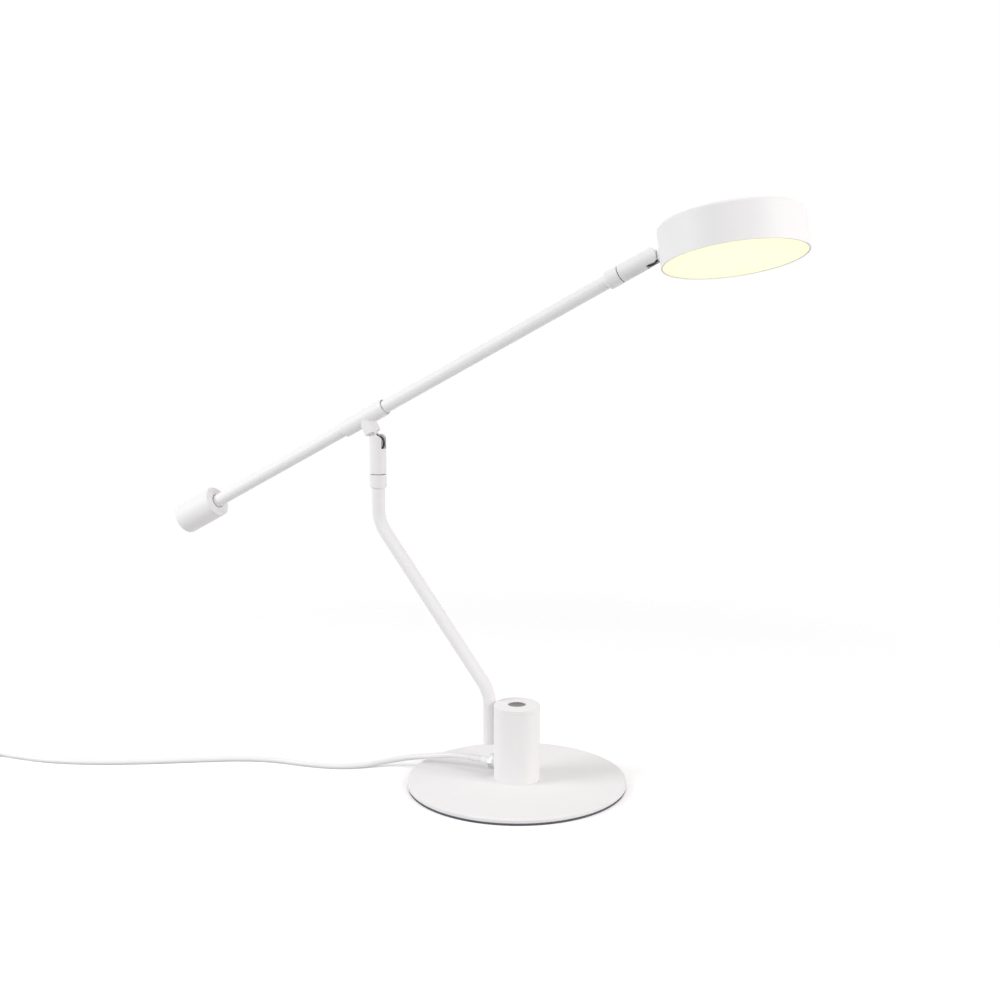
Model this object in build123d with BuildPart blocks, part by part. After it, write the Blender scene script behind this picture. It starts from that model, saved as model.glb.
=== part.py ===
from build123d import *
from math import atan, cos, pi, radians, sin, sqrt, tan
import os

# Counterweight balance desk lamp, millimetres, +Z up.
# The origin is the centre of the face that rests on the table, on the axis of base and column.
# Stem and arm lie in the XZ plane at rest, the lamp head towards +X, the counterweight towards -X.

# ---------------------------------------------------------------- driving dimensions
# base
base_radius = 100.0
base_plate_thickness = 4.0
base_edge_round = 1.2
base_edge_chamfer = 0.6
pad_thickness = 2.0
pad_inset = 0.6
# column
column_radius = 21.0
column_wall = 2.5
column_height = 70.0
cap_height = 5.0
cap_spigot_depth = 3.0
cap_edge_chamfer = 0.6
flange_thickness = 6.0
column_screw_circle_radius = 11.0
column_screw_count = 3
column_screw_radius = 2.0
column_screw_head_radius = 4.0
column_screw_length = 9.0
# push button, switch and driver
button_radius = 7.6
button_gap = 0.4
button_height = 3.6
button_recess = 0.4
button_travel = 1.5
button_dish_depth = 0.7
button_rim = 1.0
button_stem_radius = 2.5
button_stem_length = 6.0
switch_radius = 12.0
switch_height = 10.0
switch_screw_circle_radius = 10.1
switch_screw_radius = 1.25
switch_screw_head_radius = 2.2
switch_screw_head_length = 1.5
switch_screw_bite = 2.5
driver_size_x = 20.0
driver_size_y = 15.0
driver_corner_round = 1.5
# cord gland in the side of the column
gland_rise = 12.5
gland_radius = 5.0
gland_inner_length = 4.0
gland_washer_radius = 7.4
gland_washer_thickness = 1.2
gland_nut_across_flats = 12.6
gland_nut_length = 4.6
strain_relief_length = 23.2
strain_relief_radius = 3.6
strain_relief_skin = 0.3
cord_diameter = 5.0
# stem
tube_radius = 6.0
tube_wall = 1.2
stem_gap = 0.5
stem_foot_rise = 29.0
stem_low_bend_rise = 7.4
stem_high_bend_height = 233.4
stem_reach = 142.0
stem_bend_radius = 36.0
stem_plug_flange = 1.0
stem_plug_spigot = 1.5
saddle_width = 5.0
saddle_height = 8.0
saddle_rise = 7.0
saddle_lead_gap = 1.1
stem_anchor_overhang = 3.5
stem_screw_radius = 1.5
stem_screw_head_radius = 2.7
stem_screw_head_length = 2.2
stem_screw_depth = 2.0
lead_radius = 1.6
lead_hole_radius = 2.2
lead_hole_rise = 3.5
lead_bend_radius = 4.5
# swivels at the top of the stem and at the front of the arm
collar_radius = 7.8
stem_collar_bottom = 265.5
stem_collar_length = 12.5
collar_web = 4.5
collar_chamfer = 0.8
seam_chamfer = 0.4
spindle_radius = 4.0
spindle_bore_radius = 2.2
spindle_length = 18.0
spindle_groove_depth = 1.1
spindle_groove_drop = 5.0
swivel_washer_radius = 6.9
swivel_washer_thickness = 0.3
swivel_screw_radius = 1.5
swivel_screw_recess = 0.6
# knuckles, each a fork and a tongue on one pin
joint_radius = 7.7
knuckle_round = 7.8
stem_fork_length = 28.5
head_fork_length = 28.5
slot_width = 8.8
slot_depth = 5.0
slot_corner_round = 1.0
wire_slot_width = 3.4
wire_slot_radius = 7.6
wire_bore_radius = 3.0
pin_radius = 2.0
pin_head_radius = 3.1
pin_head_length = 1.4
pin_head_recess = 0.7
pin_blind_wall = 1.4
pin_socket_across_flats = 2.5
pin_socket_depth = 0.9
tongue_thickness = 7.2
tongue_eye_radius = 4.2
tongue_neck_width = 7.0
arm_shoulder_gap = 2.6
head_shoulder_gap = 0.5
tongue_hole_height = 6.1
tongue_hole_radius = 2.1
friction_washer_radius = 3.5
friction_washer_thickness = 0.5
wire_radius = 0.65
wire_spacing = 1.5
wire_loop_radius = 6.65
wire_bend_radius = 1.2
wire_entry_depth = 13.0
bush_radius = 3.2
bush_depth = 4.0
bush_overhang = 0.5
# arm and counterweight, placed along the arm's axis from the foot of the tongue's axis
arm_elevation = 27.8
arm_offset = 26.1
arm_boss_radius = 7.6
sleeve_back = 26.8
sleeve_front = 22.8
sleeve_radius = 7.7
sleeve_chamfer = 1.2
sleeve_recess_radius = 6.9
sleeve_recess_depth = 3.0
sleeve_screw_radius = 1.5
sleeve_screw_recess = 0.5
sleeve_screw_inset = 8.0
counterweight_start = 193.4
counterweight_length = 44.8
counterweight_radius = 15.0
counterweight_round = 2.0
counterweight_chamfer = 0.8
counterweight_recess_depth = 2.0
counterweight_bore_depth = 35.3
counterweight_screw_radius = 2.5
counterweight_screw_place = 22.0
counterweight_screw_recess = 1.0
counterweight_socket_across_flats = 2.5
head_collar_start = 268.8
head_collar_length = 12.5
# head
head_swivel_at_rest = -10.7
head_droop = 15.7
head_setback = 13.0
head_radius = 59.6
head_height = 33.0
head_wall = 1.2
head_top_thickness = 1.5
head_edge_round = 2.5
head_pin_height = 18.1
head_boss_radius = 5.8
head_bolt_head_radius = 6.0
head_bolt_head_length = 3.0
diffuser_recess = 0.3
diffuser_thickness = 2.5
reflector_wall = 0.8
reflector_lip = 3.0
led_gap = 1.0
led_board_radius = 25.0
led_board_thickness = 1.6
led_board_height = 10.4
led_count = 12
led_circle_radius = 16.0
led_size = 3.0
led_height = 0.8
heat_sink_radius = 45.0
heat_sink_thickness = 3.0
heat_sink_fin_count = 4
heat_sink_fin_pitch = 9.0
heat_sink_fin_length = 44.0
heat_sink_fin_width = 1.5
heat_sink_fin_height = 6.0
heat_sink_fin_place = 12.0
head_post_count = 3
head_post_circle_radius = 40.0
head_post_radius = 3.2
head_screw_radius = 1.5
head_screw_length = 9.0
head_screw_head_radius = 2.8
head_screw_head_length = 1.4
head_terminal_place = 15.0
head_terminal_length = 10.0
head_terminal_width = 8.0
head_terminal_height = 6.0
# plug on the cord's far end
plug_length = 35.3
plug_width = 26.0
plug_back_width = 17.0
plug_thickness = 13.7
plug_corner_round = 4.0
plug_neck_length = 16.0
plug_neck_radius = 4.6
plug_pin_radius = 2.0
plug_pin_length = 19.0
plug_pin_spacing = 18.6
plug_pin_chamfer = 0.5
# coil of put-away cord
coil_inner_radius = 21.5
coil_pitch = 5.6
coil_layer_step = 5.6
coil_turns = 6
coil_tail = 10.0
# clearances
fit_clearance = 0.05
running_clearance = 0.3

# ---------------------------------------------------------------- places worked out from the sizes
plate_top = pad_thickness + base_plate_thickness
column_bore = column_radius - column_wall
column_top = plate_top + column_height
cap_bottom = column_top - cap_height
flange_top = plate_top + flange_thickness
switch_bottom = cap_bottom - switch_height
button_top = column_top - button_recess
button_bottom = button_top - button_height
gland_height = plate_top + gland_rise
gland_reach = gland_washer_thickness + gland_nut_length
cord_radius = cord_diameter / 2

tube_bore = tube_radius - tube_wall
stem_x = -(column_radius + stem_gap + tube_radius)
stem_foot = plate_top + stem_foot_rise
stem_collar_top = stem_collar_bottom + stem_collar_length
stem_tube_top = stem_collar_top - collar_web
lead_hole_height = switch_bottom + lead_hole_rise
upper_saddle_height = lead_hole_height - lead_hole_radius - saddle_lead_gap - saddle_height / 2
saddle_heights = [stem_foot + saddle_rise, upper_saddle_height]
stem_low_bend_height = column_top + stem_low_bend_rise

swivel_gap = swivel_washer_thickness + running_clearance
spindle_reach = spindle_length - collar_web - swivel_gap
groove_rise = spindle_reach - spindle_groove_drop
groove_radius = spindle_radius - spindle_groove_depth
pin_seat = joint_radius - pin_head_recess - pin_head_length
pin_depth = joint_radius - pin_blind_wall
lead_start = wire_loop_radius + wire_radius

arm_tube_front = head_collar_start + head_collar_length - collar_web
arm_tube_back = counterweight_start + counterweight_bore_depth
head_fork_start = head_collar_start + head_collar_length + swivel_gap
stem_pin_height = stem_collar_top + swivel_gap + stem_fork_length
head_bore = head_radius - head_wall
head_ceiling = head_height - head_top_thickness
heat_sink_bottom = led_board_height + led_board_thickness
heat_sink_top = heat_sink_bottom + heat_sink_thickness
diffuser_top = diffuser_recess + diffuser_thickness
reflector_inner_radius = led_board_radius + led_gap

# Directions of the arm and of the head, as they stand at rest.
elevation = radians(arm_elevation)
swivel = radians(head_swivel_at_rest)
droop = radians(head_droop)
sideways = Vector(0, 1, 0)
arm_along = Vector(cos(elevation), 0, sin(elevation))
arm_up = Vector(-sin(elevation), 0, cos(elevation))
yoke_up = arm_up * cos(swivel) - sideways * sin(swivel)
head_out = arm_along * cos(droop) - yoke_up * sin(droop)
head_up = yoke_up * cos(droop) + arm_along * sin(droop)

stem_pin_centre = Vector(-stem_reach, 0, stem_pin_height)
arm_centre = stem_pin_centre + arm_up * arm_offset
head_pin_centre = arm_centre + arm_along * (head_fork_start + head_fork_length)
head_centre = head_pin_centre + head_out * (head_setback + head_radius) - head_up * head_pin_height

# A knuckle's frames stand on its pin: Y runs along the pin and the wires pass on the +X side.
stem_fork_frame = Plane(origin=stem_pin_centre, x_dir=(1, 0, 0), z_dir=(0, 0, 1))
arm_tongue_frame = Plane(origin=stem_pin_centre, x_dir=arm_along, z_dir=arm_up)
head_fork_frame = Plane(origin=head_pin_centre, x_dir=yoke_up * -1, z_dir=arm_along)
head_tongue_frame = Plane(origin=head_pin_centre, x_dir=head_up * -1, z_dir=head_out)
# Swivel frames stand on the tube's end, inside its collar, with Z along the tube.
stem_swivel_frame = Plane(origin=(-stem_reach, 0, stem_tube_top), x_dir=(1, 0, 0), z_dir=(0, 0, 1))
arm_frame = Plane(origin=arm_centre, x_dir=arm_up * -1, z_dir=arm_along)
head_swivel_frame = arm_frame.offset(arm_tube_front)
head_frame = Plane(origin=head_centre, x_dir=head_out, z_dir=head_up)
gland_frame = Plane(origin=(-column_radius, 0, gland_height), x_dir=(0, 1, 0), z_dir=(-1, 0, 0))

ALONG_X = (0, 90, 0)
ALONG_Y = (-90, 0, 0)
UP = (Align.CENTER, Align.CENTER, Align.MIN)
DOWN = (Align.CENTER, Align.CENTER, Align.MAX)

os.makedirs("parts", exist_ok=True)


def axis_of(frame):
    """The line through a frame's origin along its Z."""
    return Axis(frame.origin, frame.z_dir)


def pin_plane(frame):
    """A knuckle's middle plane: x is the frame's X, y is its Z, and the pin runs across."""
    return Plane(origin=frame.origin, x_dir=frame.x_dir, z_dir=frame.y_dir * -1)


def slot_plane(frame):
    """A plane across a fork's slot: x is the frame's Y, y is its Z."""
    return Plane(origin=frame.origin, x_dir=frame.y_dir, z_dir=frame.x_dir)


# ---------------------------------------------------------------- base and column
column_screw_cone = column_screw_head_radius - column_screw_radius

with BuildPart() as base_plate:
    with Locations((0, 0, pad_thickness)):
        Cylinder(base_radius, base_plate_thickness, align=UP)
    fillet(base_plate.edges().sort_by(Axis.Z)[-1], base_edge_round)
    chamfer(base_plate.edges().sort_by(Axis.Z)[0], base_edge_chamfer)
    with Locations((0, 0, pad_thickness)):
        with PolarLocations(column_screw_circle_radius, column_screw_count):
            Cylinder(
                column_screw_radius + fit_clearance,
                base_plate_thickness,
                align=UP,
                mode=Mode.SUBTRACT,
            )
            Cone(
                column_screw_head_radius + fit_clearance,
                column_screw_radius + fit_clearance,
                column_screw_cone,
                align=UP,
                mode=Mode.SUBTRACT,
            )

with BuildPart() as foot_pad:
    Cylinder(base_radius - pad_inset, pad_thickness, align=UP)

with BuildPart() as column_flange:
    with Locations((0, 0, plate_top)):
        Cylinder(column_bore - fit_clearance, flange_thickness, align=UP)
        with PolarLocations(column_screw_circle_radius, column_screw_count):
            Cylinder(column_screw_radius, flange_thickness, align=UP, mode=Mode.SUBTRACT)

with BuildPart() as column_screws:
    with Locations((0, 0, pad_thickness)):
        with PolarLocations(column_screw_circle_radius, column_screw_count):
            Cone(column_screw_head_radius, column_screw_radius, column_screw_cone, align=UP)
            Cylinder(column_screw_radius, column_screw_length, align=UP)

with BuildPart() as column_tube:
    with Locations((0, 0, plate_top)):
        Cylinder(column_radius, cap_bottom - plate_top, align=UP)
    chamfer(column_tube.edges().sort_by(Axis.Z)[-1], seam_chamfer)
    with Locations((0, 0, plate_top)):
        Cylinder(column_bore, column_height, align=UP, mode=Mode.SUBTRACT)
    with Locations((-column_radius, 0, gland_height)):
        Cylinder(gland_radius, column_radius, rotation=ALONG_X, align=UP, mode=Mode.SUBTRACT)
    with Locations((-column_radius, 0, lead_hole_height)):
        Cylinder(lead_hole_radius, column_radius, rotation=ALONG_X, align=UP, mode=Mode.SUBTRACT)
    with Locations([(-column_radius, 0, height) for height in saddle_heights]):
        Cylinder(
            stem_screw_radius + fit_clearance,
            column_radius,
            rotation=ALONG_X,
            align=UP,
            mode=Mode.SUBTRACT,
        )

with BuildPart() as column_cap:
    with Locations((0, 0, cap_bottom)):
        Cylinder(column_radius, cap_height, align=UP)
    chamfer(column_cap.edges().sort_by(Axis.Z)[-1], cap_edge_chamfer)
    chamfer(column_cap.edges().sort_by(Axis.Z)[0], seam_chamfer)
    with Locations((0, 0, cap_bottom)):
        Cylinder(column_bore - fit_clearance, cap_spigot_depth, align=DOWN)
        Cylinder(switch_radius + fit_clearance, cap_spigot_depth, align=DOWN, mode=Mode.SUBTRACT)
        Cylinder(button_radius + button_gap, cap_height, align=UP, mode=Mode.SUBTRACT)
        with PolarLocations(switch_screw_circle_radius, 2, start_angle=90):
            Cylinder(switch_screw_radius, switch_screw_bite, align=UP, mode=Mode.SUBTRACT)
    chamfer(column_cap.edges().group_by(Axis.Z)[-1].sort_by(SortBy.LENGTH)[0], seam_chamfer)

# ---------------------------------------------------------------- push button, switch, driver
button_dish_radius = ((button_radius - button_rim) ** 2 + button_dish_depth**2) / (2 * button_dish_depth)
button_low = button_bottom - button_travel - running_clearance

with BuildPart() as push_button:
    with Locations((0, 0, button_bottom)):
        Cylinder(button_radius, button_height, align=UP)
    chamfer(push_button.edges().sort_by(Axis.Z)[-1], seam_chamfer)
    with Locations((0, 0, button_bottom)):
        Cylinder(button_stem_radius, button_stem_length, align=DOWN)
    with Locations((0, 0, button_top - button_dish_depth + button_dish_radius)):
        Sphere(button_dish_radius, mode=Mode.SUBTRACT)

with BuildPart() as switch_module:
    with Locations((0, 0, cap_bottom)):
        Cylinder(switch_radius, switch_height, align=DOWN)
        with PolarLocations(switch_screw_circle_radius, 2, start_angle=90):
            Cylinder(
                switch_screw_radius + fit_clearance,
                switch_height,
                align=DOWN,
                mode=Mode.SUBTRACT,
            )
    with Locations((0, 0, button_low)):
        Cylinder(button_radius + button_gap, cap_height, align=UP, mode=Mode.SUBTRACT)
    with Locations((0, 0, button_low - button_stem_length)):
        Cylinder(
            button_stem_radius + fit_clearance,
            button_stem_length,
            align=UP,
            mode=Mode.SUBTRACT,
        )

with BuildPart() as switch_screws:
    with Locations((0, 0, switch_bottom)):
        with PolarLocations(switch_screw_circle_radius, 2, start_angle=90):
            Cylinder(switch_screw_head_radius, switch_screw_head_length, align=DOWN)
            Cylinder(switch_screw_radius, switch_height + switch_screw_bite, align=UP)

with BuildPart() as driver_housing:
    with Locations((0, 0, flange_top)):
        Box(driver_size_x, driver_size_y, switch_bottom - flange_top, align=UP)
    fillet(driver_housing.edges().filter_by(Axis.Z), driver_corner_round)

# ---------------------------------------------------------------- cord gland
gland_inner_end = -column_wall - gland_inner_length

with BuildPart(gland_frame) as gland_body:
    with Locations((0, 0, gland_inner_end)):
        Cylinder(gland_radius, gland_reach - gland_inner_end, align=UP)
        Cylinder(strain_relief_radius, gland_reach - gland_inner_end, align=UP, mode=Mode.SUBTRACT)

with BuildPart(gland_frame) as gland_washer:
    with Locations((0, 0, -column_wall)):
        Cylinder(gland_washer_radius, column_wall + gland_washer_thickness, align=UP)
        Cylinder(gland_radius, column_wall + gland_washer_thickness, align=UP, mode=Mode.SUBTRACT)
    with Locations((0, 0, -column_radius)):
        Cylinder(column_radius, column_height, rotation=(90, 0, 0), mode=Mode.SUBTRACT)

with BuildPart() as gland_nut:
    with BuildSketch(gland_frame.offset(gland_washer_thickness)):
        RegularPolygon(gland_nut_across_flats / 2, 6, major_radius=False)
        Circle(gland_radius, mode=Mode.SUBTRACT)
    extrude(amount=gland_nut_length)

with BuildPart(gland_frame) as strain_relief:
    with Locations((0, 0, gland_inner_end)):
        Cylinder(strain_relief_radius, gland_reach - gland_inner_end, align=UP)
    with Locations((0, 0, gland_reach)):
        Cone(strain_relief_radius, cord_radius + strain_relief_skin, strain_relief_length, align=UP)

with BuildPart(gland_frame) as mains_lead:
    with Locations((0, 0, gland_inner_end)):
        Cylinder(cord_radius, column_radius + gland_inner_end - driver_size_x / 2, align=DOWN)

# ---------------------------------------------------------------- stem
stem_bends = [
    (stem_x, 0, stem_low_bend_height),
    (-stem_reach, 0, stem_high_bend_height),
]
stem_tube_foot = (stem_x, 0, stem_foot + stem_plug_flange)

with BuildLine() as stem_route:
    FilletPolyline(
        stem_tube_foot,
        *stem_bends,
        (-stem_reach, 0, stem_tube_top),
        radius=stem_bend_radius,
    )

with BuildPart() as stem_tube:
    with BuildSketch(Plane(origin=stem_tube_foot)):
        Circle(tube_radius)
        Circle(tube_bore, mode=Mode.SUBTRACT)
    sweep(path=stem_route.line)
    with Locations((stem_x, 0, lead_hole_height)):
        Cylinder(lead_hole_radius, tube_radius, rotation=ALONG_X, align=UP, mode=Mode.SUBTRACT)
    with Locations([(stem_x, 0, height) for height in saddle_heights]):
        Cylinder(
            stem_screw_radius + fit_clearance,
            tube_radius,
            rotation=ALONG_X,
            align=UP,
            mode=Mode.SUBTRACT,
        )

with BuildPart() as stem_plug:
    with Locations((stem_x, 0, stem_foot)):
        Cylinder(tube_radius, stem_plug_flange, align=UP)
    chamfer(stem_plug.edges().sort_by(Axis.Z)[0], seam_chamfer)
    with Locations((stem_x, 0, stem_foot)):
        Cylinder(tube_bore - fit_clearance, stem_plug_flange + stem_plug_spigot, align=UP)

with BuildPart() as stem_saddles:
    with Locations([(stem_x, 0, height) for height in saddle_heights]):
        Box(2 * tube_radius, saddle_width, saddle_height, align=(Align.MIN, Align.CENTER, Align.CENTER))
        Cylinder(tube_radius, saddle_height, mode=Mode.SUBTRACT)
        Cylinder(
            stem_screw_radius + fit_clearance,
            column_radius,
            rotation=ALONG_X,
            align=UP,
            mode=Mode.SUBTRACT,
        )
    with Locations((0, 0, plate_top)):
        Cylinder(column_radius, column_height, align=UP, mode=Mode.SUBTRACT)

stem_anchor_length = saddle_heights[1] - saddle_heights[0] + 2 * stem_anchor_overhang

with BuildPart() as stem_anchor:
    with Locations((stem_x, 0, saddle_heights[0] - stem_anchor_overhang)):
        Cylinder(tube_bore - fit_clearance, stem_anchor_length, align=UP)
    with Locations([(stem_x, 0, height) for height in saddle_heights]):
        Cylinder(stem_screw_radius, 2 * tube_radius, rotation=ALONG_X, mode=Mode.SUBTRACT)

# The flat screw heads bear on the column's hollow side along their two outer edges.
stem_screw_seat = -sqrt(column_bore**2 - stem_screw_head_radius**2)

with BuildPart() as stem_screws:
    with Locations([(stem_screw_seat, 0, height) for height in saddle_heights]):
        Cylinder(
            stem_screw_radius,
            stem_screw_seat - stem_x + stem_screw_depth,
            rotation=ALONG_X,
            align=DOWN,
        )
        Cylinder(stem_screw_head_radius, stem_screw_head_length, rotation=ALONG_X, align=UP)

stem_lead_start = (-switch_radius, 0, lead_hole_height)

with BuildLine() as stem_lead_route:
    FilletPolyline(
        stem_lead_start,
        (stem_x, 0, lead_hole_height),
        *stem_bends,
        (-stem_reach, 0, stem_pin_height - wire_entry_depth),
        radius=[lead_bend_radius, stem_bend_radius, stem_bend_radius],
    )

with BuildPart() as stem_lead:
    with BuildSketch(Plane(origin=stem_lead_start, z_dir=(-1, 0, 0))):
        Circle(lead_radius)
    sweep(path=stem_lead_route.line)


# ---------------------------------------------------------------- swivels
def make_collar(frame, length):
    """A collar on a tube's end: the tube stands in its socket, the spindle in its web."""
    with BuildPart(frame.offset(collar_web - length)) as collar:
        Cylinder(collar_radius, length, align=UP)
        chamfer(collar.edges().sort_by(axis_of(frame))[0], collar_chamfer)
        chamfer(collar.edges().sort_by(axis_of(frame))[-1], seam_chamfer)
        Cylinder(tube_radius + fit_clearance, length - collar_web, align=UP, mode=Mode.SUBTRACT)
        Cylinder(spindle_radius, length, align=UP, mode=Mode.SUBTRACT)
    return collar


def make_spindle(frame):
    """A hollow spindle with a groove that the fork's set screw runs in."""
    groove_height = 2 * (swivel_screw_radius + running_clearance)
    with BuildPart(frame) as spindle:
        Cylinder(spindle_radius, spindle_length, align=UP)
        with Locations((0, 0, spindle_length - spindle_groove_drop)):
            Cylinder(spindle_radius, groove_height, mode=Mode.SUBTRACT)
            Cylinder(groove_radius, groove_height)
        Cylinder(spindle_bore_radius, spindle_length, align=UP, mode=Mode.SUBTRACT)
    return spindle


def make_swivel_washer(frame):
    """A thin washer that lies on the collar, under the fork."""
    with BuildPart(frame.offset(collar_web)) as washer:
        Cylinder(swivel_washer_radius, swivel_washer_thickness, align=UP)
        Cylinder(spindle_radius + fit_clearance, swivel_washer_thickness, align=UP, mode=Mode.SUBTRACT)
    return washer


def make_swivel_screw(frame, length):
    """The set screw in the back of a fork of the given length, its tip in the spindle's groove."""
    tip = groove_radius + running_clearance
    outer_end = joint_radius - swivel_screw_recess
    with BuildPart(frame) as screw:
        with Locations((0, tip, groove_rise - length)):
            Cylinder(swivel_screw_radius, outer_end - tip, rotation=ALONG_Y, align=UP)
    return screw


# ---------------------------------------------------------------- knuckles
def make_fork(frame, length):
    """A round fork that turns on a spindle; its length runs from its lower end to the pin."""
    with BuildPart(frame) as fork:
        with Locations((0, 0, -length)):
            Cylinder(joint_radius, length + knuckle_round, align=UP)
        chamfer(fork.edges().sort_by(axis_of(frame))[0], seam_chamfer)
        with BuildSketch(pin_plane(frame)):
            Circle(knuckle_round)
            with Locations((0, -length)):
                Rectangle(4 * joint_radius, length, align=(Align.CENTER, Align.MIN))
        extrude(amount=2 * joint_radius, both=True, mode=Mode.INTERSECT)
        with BuildSketch(slot_plane(frame)):
            with Locations((0, -slot_depth)):
                RectangleRounded(
                    slot_width,
                    slot_depth + 2 * knuckle_round,
                    slot_corner_round,
                    align=(Align.CENTER, Align.MIN),
                )
        extrude(amount=2 * joint_radius, both=True, mode=Mode.SUBTRACT)
        Cylinder(wire_slot_radius, wire_slot_width, rotation=ALONG_Y, mode=Mode.SUBTRACT)
        with Locations((0, 0, -length)):
            Cylinder(
                spindle_radius + fit_clearance,
                spindle_reach + running_clearance,
                align=UP,
                mode=Mode.SUBTRACT,
            )
            Cylinder(
                wire_bore_radius,
                length - wire_loop_radius,
                align=UP,
                mode=Mode.SUBTRACT,
            )
        with Locations((0, 0, groove_rise - length)):
            Cylinder(
                swivel_screw_radius,
                2 * joint_radius,
                rotation=ALONG_Y,
                align=UP,
                mode=Mode.SUBTRACT,
            )
        with Locations((0, -pin_depth, 0)):
            Cylinder(pin_radius, pin_depth, rotation=ALONG_Y, align=UP, mode=Mode.SUBTRACT)
        Cylinder(
            pin_radius + fit_clearance,
            2 * joint_radius,
            rotation=ALONG_Y,
            align=UP,
            mode=Mode.SUBTRACT,
        )
        with Locations((0, pin_seat, 0)):
            Cylinder(
                pin_head_radius + fit_clearance,
                joint_radius,
                rotation=ALONG_Y,
                align=UP,
                mode=Mode.SUBTRACT,
            )
    return fork


def make_pin(frame):
    """The screw pin of a knuckle: blind in the front cheek, its head sunk in the back one."""
    with BuildPart(frame) as pin:
        with Locations((0, -pin_depth, 0)):
            Cylinder(pin_radius, pin_depth + pin_seat, rotation=ALONG_Y, align=UP)
        with Locations((0, pin_seat, 0)):
            Cylinder(pin_head_radius, pin_head_length, rotation=ALONG_Y, align=UP)
        with BuildSketch(pin_plane(frame).offset(-pin_seat - pin_head_length)):
            RegularPolygon(pin_socket_across_flats / 2, 6, major_radius=False)
        extrude(amount=pin_socket_depth, mode=Mode.SUBTRACT)
    return pin


def make_friction_washers(frame):
    """Two washers on the pin, each against a cheek of the fork."""
    washer_place = (slot_width - friction_washer_thickness) / 2
    with BuildPart(frame) as washers:
        with Locations((0, -washer_place, 0), (0, washer_place, 0)):
            Cylinder(friction_washer_radius, friction_washer_thickness, rotation=ALONG_Y)
            Cylinder(
                pin_radius + fit_clearance,
                friction_washer_thickness,
                rotation=ALONG_Y,
                mode=Mode.SUBTRACT,
            )
    return washers


def make_tongue(frame, shoulder, boss_radius, seat_height, seat_radius):
    """A tongue whose boss runs from its shoulder to a round seat: a cylinder across Z at seat_height."""
    boss_end = seat_height - seat_radius + boss_radius
    with BuildPart(frame) as tongue:
        with Locations((0, 0, shoulder)):
            Cylinder(boss_radius, boss_end - shoulder, align=UP)
        chamfer(tongue.edges().sort_by(axis_of(frame))[0], seam_chamfer)
        Cylinder(tongue_eye_radius, tongue_thickness, rotation=ALONG_Y)
        Box(tongue_neck_width, tongue_thickness, shoulder, align=UP)
        with Locations((0, 0, seat_height)):
            Cylinder(seat_radius, 4 * boss_radius, rotation=ALONG_X, mode=Mode.SUBTRACT)
        Cylinder(
            pin_radius + fit_clearance,
            tongue_thickness,
            rotation=ALONG_Y,
            mode=Mode.SUBTRACT,
        )
        with Locations((0, 0, tongue_hole_height)):
            Cylinder(
                tongue_hole_radius,
                tongue_neck_width,
                rotation=ALONG_X,
                align=UP,
                mode=Mode.SUBTRACT,
            )
            Cylinder(spindle_bore_radius, seat_height, align=UP, mode=Mode.SUBTRACT)
        with Locations((0, 0, seat_height - seat_radius - bush_depth)):
            Cylinder(bush_radius, seat_radius, align=UP, mode=Mode.SUBTRACT)
    return tongue


def wire_route(frame, lean, place):
    """One wire from a fork's bore round the pin to a tongue that leans from the frame's +X side."""
    loop_bottom = -wire_loop_radius - wire_bend_radius
    with BuildLine(pin_plane(frame).offset(place)) as route:
        Line((-wire_bend_radius, -wire_entry_depth), (-wire_bend_radius, loop_bottom))
        CenterArc((0, loop_bottom), wire_bend_radius, 180, -90)
        CenterArc((0, 0), wire_loop_radius, -90, 180 + lean)
    return route.line


def make_joint_wires(frame, lean):
    """The two wires that cross a knuckle."""
    routes = [wire_route(frame, lean, place) for place in (-wire_spacing / 2, wire_spacing / 2)]
    with BuildPart() as wires:
        for route in routes:
            with BuildSketch(Plane(origin=route @ 0, z_dir=route % 0)):
                Circle(wire_radius)
            sweep(path=route)
    return wires


stem_collar = make_collar(stem_swivel_frame, stem_collar_length)
stem_spindle = make_spindle(stem_swivel_frame)
stem_washer = make_swivel_washer(stem_swivel_frame)
stem_fork = make_fork(stem_fork_frame, stem_fork_length)
stem_fork_screw = make_swivel_screw(stem_fork_frame, stem_fork_length)
stem_pin = make_pin(stem_fork_frame)
stem_friction_washers = make_friction_washers(stem_fork_frame)
stem_joint_wires = make_joint_wires(stem_fork_frame, arm_elevation)
arm_tongue = make_tongue(
    arm_tongue_frame,
    knuckle_round + arm_shoulder_gap,
    arm_boss_radius,
    arm_offset,
    sleeve_radius,
)

head_collar = make_collar(head_swivel_frame, head_collar_length)
head_spindle = make_spindle(head_swivel_frame)
head_washer = make_swivel_washer(head_swivel_frame)
head_fork = make_fork(head_fork_frame, head_fork_length)
head_fork_screw = make_swivel_screw(head_fork_frame, head_fork_length)
head_pin = make_pin(head_fork_frame)
head_friction_washers = make_friction_washers(head_fork_frame)
head_joint_wires = make_joint_wires(head_fork_frame, -head_droop)
head_tongue = make_tongue(
    head_tongue_frame,
    knuckle_round + head_shoulder_gap,
    head_boss_radius,
    head_setback + head_radius,
    head_radius,
)

# ---------------------------------------------------------------- arm
with BuildPart(arm_frame) as arm_tube:
    with Locations((0, 0, -arm_tube_back)):
        Cylinder(tube_radius, arm_tube_back + arm_tube_front, align=UP)
        Cylinder(tube_bore, arm_tube_back + arm_tube_front, align=UP, mode=Mode.SUBTRACT)
    Cylinder(
        bush_radius + fit_clearance,
        tube_radius,
        rotation=ALONG_X,
        align=UP,
        mode=Mode.SUBTRACT,
    )

sleeve_screw_places = [
    (0, tube_radius, sleeve_screw_inset - sleeve_back),
    (0, tube_radius, sleeve_front - sleeve_recess_depth - sleeve_screw_inset),
]

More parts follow.
